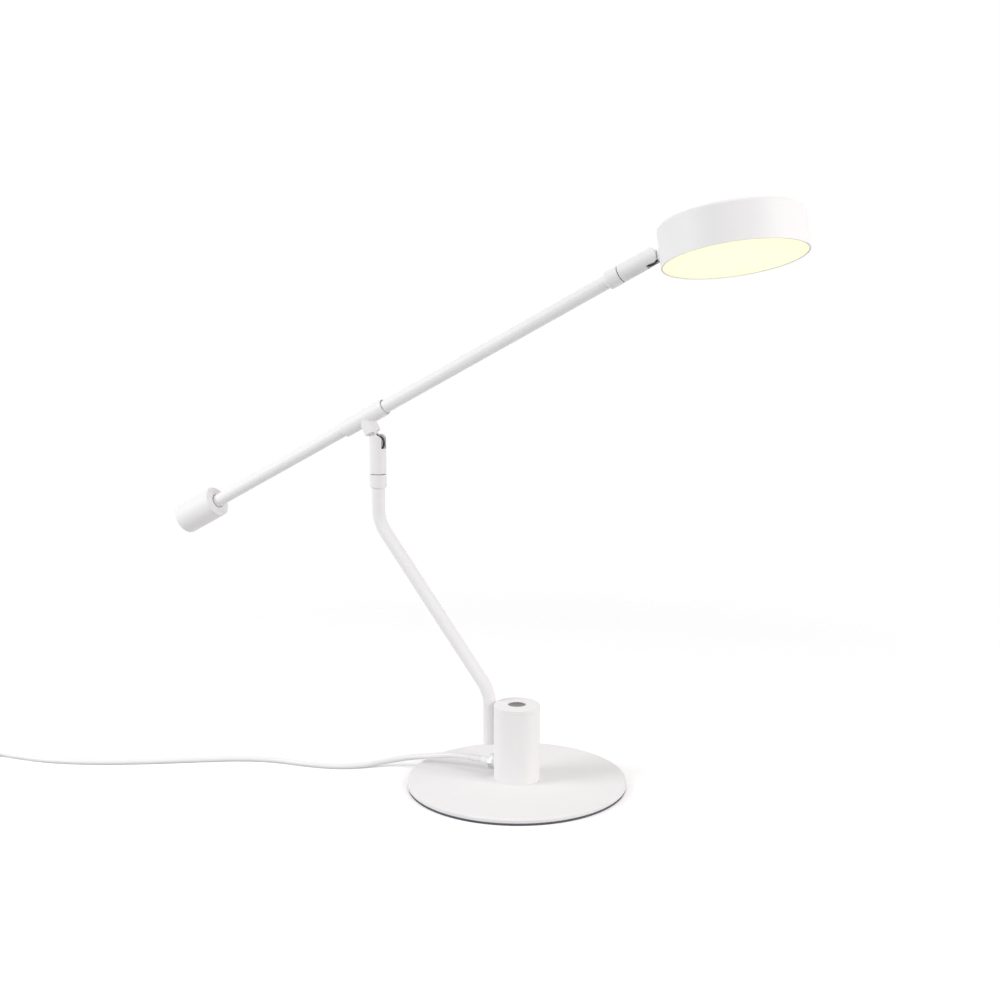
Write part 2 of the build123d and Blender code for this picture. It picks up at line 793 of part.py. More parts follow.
with BuildPart(arm_frame) as arm_sleeve:
    with Locations((0, 0, -sleeve_back)):
        Cylinder(sleeve_radius, sleeve_back + sleeve_front, align=UP)
    chamfer(arm_sleeve.edges().sort_by(axis_of(arm_frame))[0], sleeve_chamfer)
    with Locations((0, 0, -sleeve_back)):
        Cylinder(
            tube_radius + fit_clearance,
            sleeve_back + sleeve_front,
            align=UP,
            mode=Mode.SUBTRACT,
        )
    with Locations((0, 0, sleeve_front)):
        Cylinder(sleeve_recess_radius, sleeve_recess_depth, align=DOWN, mode=Mode.SUBTRACT)
    Cylinder(
        bush_radius + fit_clearance,
        2 * sleeve_radius,
        rotation=ALONG_X,
        align=UP,
        mode=Mode.SUBTRACT,
    )
    with Locations(sleeve_screw_places):
        Cylinder(
            sleeve_screw_radius,
            tube_radius,
            rotation=ALONG_Y,
            align=UP,
            mode=Mode.SUBTRACT,
        )

with BuildPart(arm_frame) as sleeve_screws:
    with Locations(sleeve_screw_places):
        Cylinder(
            sleeve_screw_radius,
            sleeve_radius - tube_radius - sleeve_screw_recess,
            rotation=ALONG_Y,
            align=UP,
        )

with BuildPart(arm_tongue_frame) as arm_bush:
    with Locations((0, 0, arm_offset - sleeve_radius - bush_depth)):
        Cylinder(bush_radius, bush_depth + sleeve_radius - tube_bore + bush_overhang, align=UP)
        Cylinder(spindle_bore_radius, bush_depth + sleeve_radius, align=UP, mode=Mode.SUBTRACT)

arm_lead_start = arm_tongue_frame.from_local_coords((0, 0, lead_start))
arm_lead_end = head_fork_frame.from_local_coords((0, 0, -wire_entry_depth))

with BuildLine() as arm_lead_route:
    FilletPolyline(arm_lead_start, arm_centre, arm_lead_end, radius=lead_bend_radius)

with BuildPart() as arm_lead:
    with BuildSketch(Plane(origin=arm_lead_start, z_dir=arm_up)):
        Circle(lead_radius)
    sweep(path=arm_lead_route.line)

counterweight_frame = arm_frame.offset(-counterweight_start)
counterweight_screw_outer = counterweight_radius - counterweight_screw_recess

with BuildPart(counterweight_frame) as counterweight:
    Cylinder(counterweight_radius, counterweight_length, align=DOWN)
    fillet(counterweight.edges().sort_by(axis_of(arm_frame))[0], counterweight_round)
    chamfer(counterweight.edges().sort_by(axis_of(arm_frame))[-1], counterweight_chamfer)
    Cylinder(
        tube_radius + fit_clearance,
        counterweight_bore_depth,
        align=DOWN,
        mode=Mode.SUBTRACT,
    )
    Cylinder(sleeve_recess_radius, counterweight_recess_depth, align=DOWN, mode=Mode.SUBTRACT)
    with Locations((0, 0, -counterweight_screw_place)):
        Cylinder(
            counterweight_screw_radius,
            counterweight_radius,
            rotation=ALONG_Y,
            align=UP,
            mode=Mode.SUBTRACT,
        )

counterweight_screw_frame = Plane(
    origin=counterweight_frame.from_local_coords((0, 0, -counterweight_screw_place)),
    x_dir=arm_along,
    z_dir=sideways,
)

with BuildPart() as counterweight_screw:
    with BuildSketch(counterweight_screw_frame.offset(tube_radius)):
        Circle(counterweight_screw_radius)
    extrude(amount=counterweight_screw_outer - tube_radius)
    with BuildSketch(counterweight_screw_frame.offset(counterweight_screw_outer)):
        RegularPolygon(counterweight_socket_across_flats / 2, 6, major_radius=False)
    extrude(amount=-counterweight_screw_radius, mode=Mode.SUBTRACT)

# ---------------------------------------------------------------- head
with BuildPart(head_frame) as head_housing:
    Cylinder(head_radius, head_height, align=UP)
    fillet(head_housing.edges().sort_by(axis_of(head_frame))[-1], head_edge_round)
    Cylinder(head_bore, head_ceiling, align=UP, mode=Mode.SUBTRACT)
    with Locations((0, 0, heat_sink_top)):
        with PolarLocations(head_post_circle_radius, head_post_count):
            Cylinder(head_post_radius, head_ceiling - heat_sink_top, align=UP)
            Cylinder(
                head_screw_radius,
                head_screw_length - heat_sink_thickness,
                align=UP,
                mode=Mode.SUBTRACT,
            )
    with Locations((-head_bore, 0, head_pin_height)):
        Cylinder(
            bush_radius + fit_clearance,
            4 * head_wall,
            rotation=ALONG_X,
            mode=Mode.SUBTRACT,
        )

with BuildPart(head_tongue_frame.offset(head_setback + head_radius)) as head_bolt:
    with Locations((0, 0, head_bolt_head_length - head_bore)):
        Cylinder(head_bolt_head_radius, 2 * head_bolt_head_length, align=DOWN)
    Cylinder(head_bore, head_height, rotation=ALONG_X, mode=Mode.INTERSECT)
    with Locations((0, 0, -head_radius - bush_depth)):
        Cylinder(bush_radius, bush_depth + head_wall + head_bolt_head_length, align=UP)
        Cylinder(spindle_bore_radius, head_radius, align=UP, mode=Mode.SUBTRACT)

head_lead_start = lead_start - head_setback - head_radius
terminal_face = -head_terminal_place - head_terminal_length / 2

with BuildPart(head_frame) as head_lead:
    with Locations((head_lead_start, 0, head_pin_height)):
        Cylinder(lead_radius, terminal_face - head_lead_start, rotation=ALONG_X, align=UP)

with BuildPart(head_frame) as head_terminal:
    with Locations((-head_terminal_place, 0, heat_sink_top)):
        Box(head_terminal_length, head_terminal_width, head_terminal_height, align=UP)

with BuildPart(head_frame) as heat_sink:
    with Locations((0, 0, heat_sink_bottom)):
        Cylinder(heat_sink_radius, heat_sink_thickness, align=UP)
        with PolarLocations(head_post_circle_radius, head_post_count):
            Cylinder(
                head_screw_radius + fit_clearance,
                heat_sink_thickness,
                align=UP,
                mode=Mode.SUBTRACT,
            )
    with Locations((heat_sink_fin_place, 0, heat_sink_top)):
        with GridLocations(heat_sink_fin_pitch, 0, heat_sink_fin_count, 1):
            Box(heat_sink_fin_width, heat_sink_fin_length, heat_sink_fin_height, align=UP)

with BuildPart(head_frame) as head_screws:
    with Locations((0, 0, heat_sink_bottom)):
        with PolarLocations(head_post_circle_radius, head_post_count):
            Cylinder(head_screw_head_radius, head_screw_head_length, align=DOWN)
            Cylinder(head_screw_radius, head_screw_length, align=UP)

with BuildPart(head_frame) as led_board:
    with Locations((0, 0, led_board_height)):
        Cylinder(led_board_radius, led_board_thickness, align=UP)

with BuildPart(head_frame) as led_chips:
    with Locations((0, 0, led_board_height)):
        with PolarLocations(led_circle_radius, led_count):
            Box(led_size, led_size, led_height, align=DOWN)

with BuildPart() as reflector:
    with BuildSketch(Plane(origin=head_centre, x_dir=head_out, z_dir=head_frame.y_dir * -1)):
        Polygon(
            (head_bore - fit_clearance, diffuser_top),
            (head_bore - fit_clearance, diffuser_top + reflector_wall),
            (reflector_inner_radius + reflector_lip, heat_sink_bottom),
            (reflector_inner_radius, heat_sink_bottom),
            (reflector_inner_radius, heat_sink_bottom - reflector_wall),
            (reflector_inner_radius + reflector_lip, heat_sink_bottom - reflector_wall),
            align=None,
        )
    revolve(axis=axis_of(head_frame))

with BuildPart(head_frame) as diffuser:
    with Locations((0, 0, diffuser_recess)):
        Cylinder(head_bore - fit_clearance, diffuser_thickness, align=UP)

# ---------------------------------------------------------------- power cord
# Centreline from the strain relief over the edge of the base and across the table.
cord_points = [
    (-50, 0, 18.5),
    (-64, 0, 18.5),
    (-88, 0, 13.8),
    (-112, -1.5, 9.0),
    (-134, -10, 4.3),
    (-149, -24, 2.5),
    (-168, -36, 2.5),
    (-196, -43, 2.5),
    (-236, -46, 2.5),
    (-268, -58, 2.5),
    (-300, -77, 2.5),
    (-340, -102, 2.5),
    (-382, -124, 2.5),
    (-424, -140, 2.5),
    (-468, -145, 2.5),
    (-507, -145, 2.5),
]


def bend_radius(before, corner, after):
    """The radius of the arc at a corner that takes 45% of the shorter of its two runs."""
    run_in = Vector(*corner) - Vector(*before)
    run_out = Vector(*after) - Vector(*corner)
    half_turn = radians(run_in.get_angle(run_out)) / 2
    return 0.45 * min(run_in.length, run_out.length) / tan(half_turn)


cord_bend_radii = [
    bend_radius(*cord_points[index : index + 3]) for index in range(len(cord_points) - 2)
]
print("cord bend radii:", [round(radius, 1) for radius in cord_bend_radii])

with BuildLine() as cord_route:
    FilletPolyline(*cord_points, radius=cord_bend_radii)

cord_path = cord_route.wire()

with BuildPart() as power_cord:
    with BuildSketch(Plane(origin=cord_points[0], z_dir=(-1, 0, 0))):
        Circle(cord_radius)
    sweep(path=cord_path)

print("cord length:", round(cord_path.length, 1))
print("cord volume share:", round(power_cord.part.volume / (pi * cord_radius**2 * cord_path.length), 4))

# ---------------------------------------------------------------- coil and plug
# The coil winds inwards on the table, climbs one layer in its innermost half turn and winds out again.
coil_middle = pi * (coil_turns + 1)
coil_half_sweep = pi * (coil_turns + 0.5)
coil_outer_radius = coil_inner_radius + coil_pitch / (2 * pi) * coil_half_sweep
coil_slant = atan(coil_pitch / (2 * pi * coil_outer_radius))
coil_start = Vector(*cord_points[-1]) - Vector(coil_tail, 0, 0)
coil_centre = coil_start - Vector(
    coil_outer_radius * sin(coil_slant),
    coil_outer_radius * cos(coil_slant),
    0,
)


def coil_point(sweep_angle):
    """A point of the coil's centreline at an angle measured from the middle of its climb."""
    reach = abs(sweep_angle)
    climb = 1.0 if sweep_angle > 0 else 0.0
    if reach < pi / 2:
        reach = sweep_angle**2 / pi + pi / 4
        climb = 0.5 + 0.5 * sin(sweep_angle)
    radius = coil_inner_radius + coil_pitch / (2 * pi) * reach
    angle = coil_middle + sweep_angle
    return coil_centre + Vector(radius * cos(angle), radius * sin(angle), coil_layer_step * climb)


def coil_heading(sweep_angle):
    """The direction of the coil's centreline at the same angle."""
    step = 0.0001
    return (coil_point(sweep_angle + step) - coil_point(sweep_angle - step)).normalized()


def biarc_middle(start, end, start_heading, end_heading):
    """The point where two arcs meet that join two points with the given headings."""
    chord = end - start
    headings = start_heading + end_heading
    spread = 2 * (1 - start_heading.dot(end_heading))
    along = chord.dot(headings)
    reach = (sqrt(along**2 + spread * chord.dot(chord)) - along) / spread
    return (start + end + (start_heading - end_heading) * reach) / 2


coil_steps = 4 * coil_turns + 2
coil_limit = coil_half_sweep + coil_slant
coil_angles = [coil_limit * (2 * step / coil_steps - 1) for step in range(coil_steps + 1)]
coil_points = [coil_point(angle) for angle in coil_angles]
coil_headings = [coil_heading(angle) for angle in coil_angles]
coil_headings[0] = Vector(-1, 0, 0)
coil_headings[-1] = Vector(1, 0, 0)
coil_end = coil_points[-1] + Vector(coil_tail, 0, 0)

with BuildLine() as coil_route:
    Line(cord_points[-1], coil_points[0])
    for step in range(coil_steps):
        middle = biarc_middle(
            coil_points[step],
            coil_points[step + 1],
            coil_headings[step],
            coil_headings[step + 1],
        )
        first_arc = TangentArc(coil_points[step], middle, tangent=coil_headings[step])
        TangentArc(middle, coil_points[step + 1], tangent=first_arc % 1)
    Line(coil_points[-1], coil_end)

coil_path = coil_route.wire()

with BuildPart() as cord_coil:
    with BuildSketch(Plane(origin=cord_points[-1], z_dir=(-1, 0, 0))):
        Circle(cord_radius)
    sweep(path=coil_path)

coil_length = coil_path.length
coil_samples = [coil_path @ (sample / 1200) for sample in range(1201)]
neighbour_span = round(1200 * 4 * cord_diameter / coil_length)
coil_gap = min(
    (coil_samples[first] - coil_samples[second]).length
    for first in range(len(coil_samples))
    for second in range(first + neighbour_span, len(coil_samples))
)
print("coil length:", round(coil_length, 1))
print("coil volume share:", round(cord_coil.part.volume / (pi * cord_radius**2 * coil_length), 4))
print("coil least gap:", round(coil_gap - cord_diameter, 3))

plug_centre = Vector(coil_end.X, coil_end.Y, plug_thickness / 2)
plug_frame = Plane(origin=plug_centre, x_dir=(0, 1, 0), z_dir=(1, 0, 0))
plug_face = plug_neck_length + plug_length

with BuildPart() as plug_body:
    with BuildSketch(plug_frame.offset(plug_neck_length)):
        RectangleRounded(plug_back_width, plug_thickness, plug_corner_round)
    with BuildSketch(plug_frame.offset(plug_face)):
        RectangleRounded(plug_width, plug_thickness, plug_corner_round)
    loft()
    with BuildSketch(Plane(origin=coil_end, x_dir=(0, 1, 0), z_dir=(1, 0, 0))):
        Circle(cord_radius + strain_relief_skin)
    with BuildSketch(plug_frame.offset(plug_neck_length)):
        Circle(plug_neck_radius)
    loft()

with BuildPart(plug_frame.offset(plug_face)) as plug_pins:
    with GridLocations(plug_pin_spacing, 0, 2, 1):
        Cylinder(plug_pin_radius, plug_pin_length, align=UP)
    chamfer(plug_pins.edges().group_by(Axis.X)[-1], plug_pin_chamfer)

# ---------------------------------------------------------------- export
pieces = {
    "base_plate": base_plate,
    "foot_pad": foot_pad,
    "column_flange": column_flange,
    "column_screws": column_screws,
    "column_tube": column_tube,
    "column_cap": column_cap,
    "push_button": push_button,
    "switch_module": switch_module,
    "switch_screws": switch_screws,
    "driver_housing": driver_housing,
    "gland_body": gland_body,
    "gland_washer": gland_washer,
    "gland_nut": gland_nut,
    "strain_relief": strain_relief,
    "mains_lead": mains_lead,
    "stem_tube": stem_tube,
    "stem_plug": stem_plug,
    "stem_saddles": stem_saddles,
    "stem_anchor": stem_anchor,
    "stem_screws": stem_screws,
    "stem_lead": stem_lead,
    "stem_collar": stem_collar,
    "stem_spindle": stem_spindle,
    "stem_washer": stem_washer,
    "stem_fork": stem_fork,
    "stem_fork_screw": stem_fork_screw,
    "stem_pin": stem_pin,
    "stem_friction_washers": stem_friction_washers,
    "stem_joint_wires": stem_joint_wires,
    "arm_tongue": arm_tongue,
    "arm_bush": arm_bush,
    "arm_sleeve": arm_sleeve,
    "sleeve_screws": sleeve_screws,
    "arm_tube": arm_tube,
    "arm_lead": arm_lead,
    "counterweight": counterweight,
    "counterweight_screw": counterweight_screw,
    "head_collar": head_collar,
    "head_spindle": head_spindle,
    "head_washer": head_washer,
    "head_fork": head_fork,
    "head_fork_screw": head_fork_screw,
    "head_pin": head_pin,
    "head_friction_washers": head_friction_washers,
    "head_joint_wires": head_joint_wires,
    "head_tongue": head_tongue,
    "head_bolt": head_bolt,
    "head_housing": head_housing,
    "head_lead": head_lead,
    "head_terminal": head_terminal,
    "heat_sink": heat_sink,
    "head_screws": head_screws,
    "led_board": led_board,
    "led_chips": led_chips,
    "reflector": reflector,
    "diffuser": diffuser,
    "power_cord": power_cord,
    "cord_coil": cord_coil,
    "plug_body": plug_body,
    "plug_pins": plug_pins,
}
for name, piece in pieces.items():
    piece.part.label = name
    export_step(piece.part, f"parts/{name}.step")
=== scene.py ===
from math import atan, cos, pi, radians, sin

import bpy
from mathutils import Matrix, Vector


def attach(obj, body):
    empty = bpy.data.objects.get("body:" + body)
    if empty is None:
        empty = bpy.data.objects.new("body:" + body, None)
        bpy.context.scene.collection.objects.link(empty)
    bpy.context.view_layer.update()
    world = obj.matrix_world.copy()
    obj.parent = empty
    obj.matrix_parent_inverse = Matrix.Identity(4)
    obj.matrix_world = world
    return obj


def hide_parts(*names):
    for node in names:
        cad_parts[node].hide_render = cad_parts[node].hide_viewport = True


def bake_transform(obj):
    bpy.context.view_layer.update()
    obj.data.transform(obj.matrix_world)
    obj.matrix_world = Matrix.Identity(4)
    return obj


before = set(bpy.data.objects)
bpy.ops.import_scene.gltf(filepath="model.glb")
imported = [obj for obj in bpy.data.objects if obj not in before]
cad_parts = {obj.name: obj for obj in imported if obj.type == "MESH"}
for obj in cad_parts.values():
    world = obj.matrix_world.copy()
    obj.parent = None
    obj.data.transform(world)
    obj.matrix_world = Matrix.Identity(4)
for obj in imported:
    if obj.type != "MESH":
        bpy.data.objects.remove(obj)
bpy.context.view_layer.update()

# ------------------------------------------------------------------ camera
CAMERA_PLACE = (0.51765, -1.12746, 0.46476)
CAMERA_LOOKS_DOWN = radians(9.211)
CAMERA_TURN = radians(25.37)

camera_data = bpy.data.cameras.new("camera")
camera_data.lens = 51.04
camera_data.sensor_width = 36.0
camera_data.clip_start = 0.05
camera_data.clip_end = 50.0
camera = bpy.data.objects.new("camera", camera_data)
camera.location = CAMERA_PLACE
camera.rotation_euler = (pi / 2 - CAMERA_LOOKS_DOWN, 0.0, CAMERA_TURN)
bpy.context.scene.collection.objects.link(camera)
bpy.context.scene.camera = camera

# ------------------------------------------------------------------ places in the part's frame, in metres
CORD_RADIUS = 0.0025
RELIEF_TIP = Vector((-0.050, 0.0, 0.0185))
RELIEF_ROOT = Vector((-0.0268, 0.0, 0.0185))

STEM_PIN = Vector((-0.142, 0.0, 0.3071))
ARM_TILT = radians(27.8)
ARM_ALONG = Vector((cos(ARM_TILT), 0.0, sin(ARM_TILT)))
HEAD_PIN = Vector((0.12040, 0.0, 0.47495))
YOKE_UP = Vector((-0.45828, 0.18567, 0.86920))
HEAD_OUT = Vector((0.97558, -0.05024, 0.21378))
HEAD_UP = Vector((-0.20181, 0.17874, 0.96297))
HEAD_CENTRE = Vector((0.19488, -0.00688, 0.47304))
HEAD_LEAN = radians(-15.7)

DIFFUSER_RADIUS = 0.05835
DIFFUSER_BOTTOM = 0.0003
DIFFUSER_TOP = 0.0028
DIFFUSER_LOWER_EDGE = 0.0004
DIFFUSER_UPPER_EDGE = 0.0003
DIFFUSER_SEGMENTS = 160

COIL_INNER_RADIUS = 0.0215
COIL_PITCH = 0.0056
COIL_LAYER_STEP = 0.0056
COIL_TURNS = 6
COIL_POINTS_PER_TURN = 24
COIL_TAIL = 0.010

WIRE_RADIUS = 0.00065
WIRE_SPACING = 0.0015
WIRE_BEND = 0.0012
WIRE_LOOP = 0.00665
WIRE_ENTRY = 0.013
WIRE_SIDES = 14
WIRE_ENTRY_STEPS = 7
WIRE_BEND_STEPS = 6
WIRE_LOOP_STEPS = 48
# ------------------------------------------------------------------ power cord
CORD_ROUTE = [
    (-0.050, 0.0, 0.0185),
    (-0.064, 0.0, 0.0185),
    (-0.088, 0.0, 0.0138),
    (-0.112, -0.0015, 0.0090),
    (-0.134, -0.010, 0.0043),
    (-0.149, -0.024, 0.0025),
    (-0.168, -0.036, 0.0025),
    (-0.196, -0.043, 0.0025),
    (-0.236, -0.046, 0.0025),
    (-0.268, -0.058, 0.0025),
    (-0.300, -0.077, 0.0025),
    (-0.340, -0.102, 0.0025),
    (-0.382, -0.124, 0.0025),
    (-0.424, -0.140, 0.0025),
    (-0.468, -0.145, 0.0025),
    (-0.507, -0.145, 0.0025),
]


def coil_route(start):
    """The coil's turns: inwards on the table, up one layer at its middle, and out again."""
    half_sweep = pi * (COIL_TURNS + 0.5)
    outer_radius = COIL_INNER_RADIUS + COIL_PITCH / (2 * pi) * half_sweep
    slant = atan(COIL_PITCH / (2 * pi * outer_radius))
    centre = start - Vector((outer_radius * sin(slant), outer_radius * cos(slant), 0.0))
    limit = half_sweep + slant
    steps = (2 * COIL_TURNS + 1) * COIL_POINTS_PER_TURN // 2
    points = []
    for step in range(steps + 1):
        sweep = limit * (2 * step / steps - 1)
        reach = abs(sweep)
        climb = 1.0 if sweep > 0 else 0.0
        if reach < pi / 2:
            reach = sweep**2 / pi + pi / 4
            climb = 0.5 + 0.5 * sin(sweep)
        radius = COIL_INNER_RADIUS + COIL_PITCH / (2 * pi) * reach
        angle = pi * (COIL_TURNS + 1) + sweep
        points.append(
            centre + Vector((radius * cos(angle), radius * sin(angle), COIL_LAYER_STEP * climb))
        )
    return points


def make_cord():
    """The power cord as one open spline, from the strain relief to the plug."""
    start = Vector(CORD_ROUTE[-1]) - Vector((COIL_TAIL, 0.0, 0.0))
    route = [Vector(point) for point in CORD_ROUTE] + coil_route(start)
    route.append(route[-1] + Vector((COIL_TAIL, 0.0, 0.0)))
    curve = bpy.data.curves.new("cord_curve", "CURVE")
    curve.dimensions = "3D"
    curve.resolution_u = 8
    curve.bevel_depth = CORD_RADIUS
    curve.bevel_resolution = 5
    curve.use_fill_caps = True
    spline = curve.splines.new("NURBS")
    spline.points.add(len(route) - 1)
    for point, place in zip(spline.points, route):
        point.co = (*place, 1.0)  # the last number is the point's weight
    spline.order_u = 3
    spline.use_endpoint_u = True
    cord = bpy.data.objects.new("cord", curve)
    bpy.context.scene.collection.objects.link(cord)
    return cord


# ------------------------------------------------------------------ material kit
def new_material(name, colour, roughness, metallic=0.0):
    """A Principled material and the handles that the other functions build on."""
    material = bpy.data.materials.new(name)
    material.use_nodes = True
    tree = material.node_tree
    surface = tree.nodes["Principled BSDF"]
    surface.inputs["Base Color"].default_value = (*colour, 1.0)
    surface.inputs["Roughness"].default_value = roughness
    surface.inputs["Metallic"].default_value = metallic
    return material, tree, surface


def add_noise(tree, scale, detail=3.0, roughness=0.55, stretch=(1.0, 1.0, 1.0)):
    """Noise in the piece's own coordinates."""
    place = tree.nodes.new("ShaderNodeTexCoord")
    mapping = tree.nodes.new("ShaderNodeMapping")
    mapping.inputs["Scale"].default_value = stretch
    noise = tree.nodes.new("ShaderNodeTexNoise")
    noise.inputs["Scale"].default_value = scale
    noise.inputs["Detail"].default_value = detail
    noise.inputs["Roughness"].default_value = roughness
    tree.links.new(place.outputs["Object"], mapping.inputs["Vector"])
    tree.links.new(mapping.outputs["Vector"], noise.inputs["Vector"])
    return noise.outputs["Fac"]


def add_range(tree, value, low, high):
    """Maps 0.3 to 0.7, where noise mostly lies, onto low to high."""
    node = tree.nodes.new("ShaderNodeMapRange")
    node.inputs["From Min"].default_value = 0.3
    node.inputs["From Max"].default_value = 0.7
    node.inputs["To Min"].default_value = low
    node.inputs["To Max"].default_value = high
    tree.links.new(value, node.inputs["Value"])
    return node.outputs["Result"]


def vary_roughness(tree, surface, scale, low, high):
    """Roughness that wanders between two values."""
    tree.links.new(
        add_range(tree, add_noise(tree, scale), low, high), surface.inputs["Roughness"]
    )


def vary_colour(tree, surface, scale, first, second):
    """Base colour that wanders between two tones."""
    mix = tree.nodes.new("ShaderNodeMix")
    mix.data_type = "RGBA"
    mix.inputs["A"].default_value = (*first, 1.0)
    mix.inputs["B"].default_value = (*second, 1.0)
    tree.links.new(add_range(tree, add_noise(tree, scale, 4.0), 0.0, 1.0), mix.inputs["Factor"])
    tree.links.new(mix.outputs["Result"], surface.inputs["Base Color"])
    return mix


def add_bump(tree, surface, height, distance, strength=1.0):
    """A bump of that height map, in metres."""
    bump = tree.nodes.new("ShaderNodeBump")
    bump.inputs["Distance"].default_value = distance
    bump.inputs["Strength"].default_value = strength
    tree.links.new(height, bump.inputs["Height"])
    before = surface.inputs["Normal"].links
    if before:
        tree.links.new(before[0].from_socket, bump.inputs["Normal"])
    tree.links.new(bump.outputs["Normal"], surface.inputs["Normal"])


def paint_edge_highlight(tree, mix, highlight_tone, amount):
    """Painted highlight on the piece's edges: the given tone, paler in every use here, where the edges stand
    out, a pointiness above a flat face's 0.5.
    """
    geometry = tree.nodes.new("ShaderNodeNewGeometry")
    edge = tree.nodes.new("ShaderNodeMapRange")
    edge.inputs["From Min"].default_value = 0.52
    edge.inputs["From Max"].default_value = 0.60
    edge.inputs["To Min"].default_value = 0.0
    edge.inputs["To Max"].default_value = amount
    over = tree.nodes.new("ShaderNodeMix")
    over.data_type = "RGBA"
    over.inputs["B"].default_value = (*highlight_tone, 1.0)
    surface = mix.outputs["Result"].links[0].to_socket
    tree.links.new(geometry.outputs["Pointiness"], edge.inputs["Value"])
    tree.links.new(edge.outputs["Result"], over.inputs["Factor"])
    tree.links.new(mix.outputs["Result"], over.inputs["A"])
    tree.links.new(over.outputs["Result"], surface)


def powder_coat(name, first, second):
    """White powder coat: fine orange peel, a sandy grain and slightly paler edges, a painted highlight."""
    material, tree, surface = new_material(name, first, 0.5)
    mix = vary_colour(tree, surface, 35.0, first, second)
    # Paler edges on the coat: a painted highlight.
    paint_edge_highlight(tree, mix, (0.88, 0.872, 0.872), 0.5)
    vary_roughness(tree, surface, 420.0, 0.42, 0.58)
    add_bump(tree, surface, add_noise(tree, 420.0, 2.0), 0.00008, 0.6)
    add_bump(tree, surface, add_noise(tree, 2300.0, 2.0, 0.7), 0.00004, 0.7)
    surface.inputs["Specular IOR Level"].default_value = 0.42
    return material


def metal(name, colour, roughness, spread, scale, stretch=(1.0, 1.0, 1.0), depth=0.00002):
    """Bare or plated metal with drawn or turned marks."""
    material, tree, surface = new_material(name, colour, roughness, 1.0)
    marks = add_noise(tree, scale, 4.0, 0.6, stretch)
    tree.links.new(
        add_range(tree, marks, roughness - spread, roughness + spread),
        surface.inputs["Roughness"],
    )
    add_bump(tree, surface, marks, depth, 0.5)
    mix = vary_colour(tree, surface, 60.0, colour, tuple(0.93 * part for part in colour))
    # Paler edges on the metal: a painted highlight.
    paint_edge_highlight(tree, mix, tuple(min(1.0, 1.1 * part) for part in colour), 0.4)
    return material


def plastic(name, first, second, roughness, scale, depth, gloss=0.5):
    """Moulded plastic or rubber with a fine grain."""
    material, tree, surface = new_material(name, first, roughness)
    vary_colour(tree, surface, 45.0, first, second)
    vary_roughness(tree, surface, scale, roughness - 0.06, roughness + 0.06)
    add_bump(tree, surface, add_noise(tree, scale, 3.0, 0.6), depth, 0.6)
    surface.inputs["Specular IOR Level"].default_value = gloss
    return material


def foam(name):
    """Closed-cell foam: small pits and a dull surface."""
    material, tree, surface = new_material(name, (0.10, 0.105, 0.125), 0.9)
    vary_colour(tree, surface, 300.0, (0.085, 0.09, 0.108), (0.125, 0.13, 0.152))
    cells = tree.nodes.new("ShaderNodeTexVoronoi")
    cells.inputs["Scale"].default_value = 1400.0
    place = tree.nodes.new("ShaderNodeTexCoord")
    tree.links.new(place.outputs["Object"], cells.inputs["Vector"])
    add_bump(tree, surface, cells.outputs["Distance"], 0.0001, 0.8)
    vary_roughness(tree, surface, 900.0, 0.82, 0.98)
    return material


def lit_opal(name, edge_radius):
    """An opal disc lit from behind: even and a little brighter in the middle; its darker, warmer rim is
    painted shade of the gap round the disc.
    """
    material, tree, surface = new_material(name, (0.05, 0.05, 0.045), 0.45)
    place = tree.nodes.new("ShaderNodeTexCoord")
    flat = tree.nodes.new("ShaderNodeVectorMath")
    flat.operation = "MULTIPLY"
    flat.inputs[1].default_value = (1.0, 1.0, 0.0)
    length = tree.nodes.new("ShaderNodeVectorMath")
    length.operation = "LENGTH"
    share = tree.nodes.new("ShaderNodeMath")
    share.operation = "DIVIDE"
    share.inputs[1].default_value = edge_radius
    ramp = tree.nodes.new("ShaderNodeValToRGB")
    ramp.color_ramp.interpolation = "EASE"
    stops = ramp.color_ramp.elements
    stops[0].position = 0.0
    stops[0].color = (1.0, 0.985, 0.66, 1.0)
    # The stops from 0.90 outwards darken and warm the rim: painted shade of the narrow gap round the disc.
    stops[1].position = 1.0
    stops[1].color = (0.95, 0.84, 0.57, 1.0)
    for position, tone in ((0.90, (0.99, 0.97, 0.63, 1.0)), (0.975, (0.98, 0.93, 0.57, 1.0))):
        stops.new(position).color = tone
    tree.links.new(place.outputs["UV"], flat.inputs[0])
    tree.links.new(flat.outputs["Vector"], length.inputs[0])
    tree.links.new(length.outputs["Value"], share.inputs[0])
    tree.links.new(share.outputs["Value"], ramp.inputs["Fac"])
    tree.links.new(ramp.outputs["Color"], surface.inputs["Emission Color"])
    surface.inputs["Emission Strength"].default_value = 0.96
    vary_roughness(tree, surface, 600.0, 0.40, 0.50)
    add_bump(tree, surface, add_noise(tree, 900.0, 2.0), 0.00002, 0.4)
    return material


def glow(name, colour, strength, body_colour):
    """A small lit part."""
    material, tree, surface = new_material(name, body_colour, 0.4)
    surface.inputs["Emission Color"].default_value = (*colour, 1.0)
    surface.inputs["Emission Strength"].default_value = strength
    vary_roughness(tree, surface, 800.0, 0.35, 0.5)
    return material


